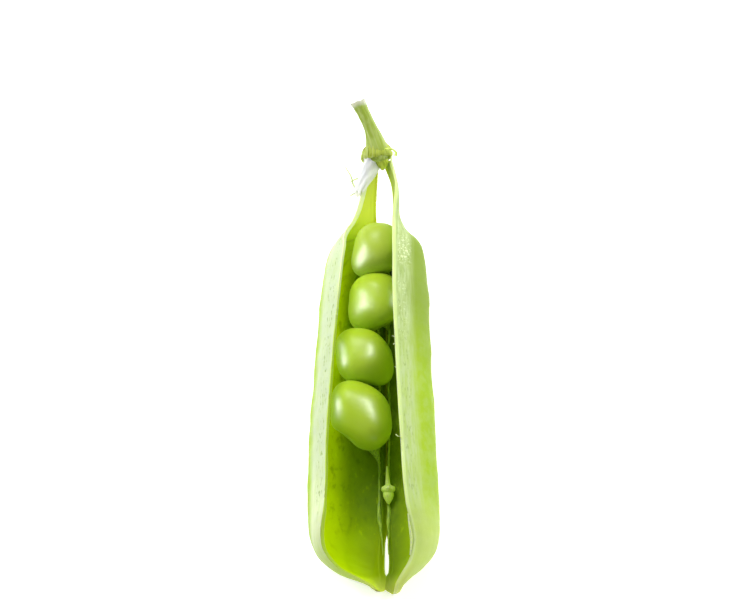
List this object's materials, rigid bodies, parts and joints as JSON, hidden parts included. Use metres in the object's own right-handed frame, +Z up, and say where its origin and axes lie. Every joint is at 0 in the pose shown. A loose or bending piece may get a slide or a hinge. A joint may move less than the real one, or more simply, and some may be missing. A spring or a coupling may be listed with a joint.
{
  "type": "pea pod",
  "caption": "Split green pea pod lying open on its back, with its peas seated in one valve and a short stalk, torn calyx ring and dry stamen sheath at its neck.",
  "frame": {"origin": "middle of the pod's footprint, on the surface it lies on", "axes": "+Y along the pod from its tips to its stalk, +Z up out of its opening, +X to the right with the stalk pointing away"},
  "size_m": [0.022, 0.082, 0.0153],
  "materials": {
    "valve": "waxy pale green skin with a whitish bloom outside, satin yellow green inside",
    "pea": "smooth glossy yellow green",
    "stalk": "pale green, finely ribbed lengthwise",
    "calyx": "knobby yellow green",
    "sheath": "dry, white and papery"
  },
  "bodies": {
    "root": {"left_valve": "valve", "right_valve": "valve", "pea_1": "pea", "pea_2": "pea", "pea_3": "pea", "pea_4": "pea", "stalk": "stalk", "calyx_ring": "calyx", "stamen_sheath": "sheath"}
  },
  "joints": []
}
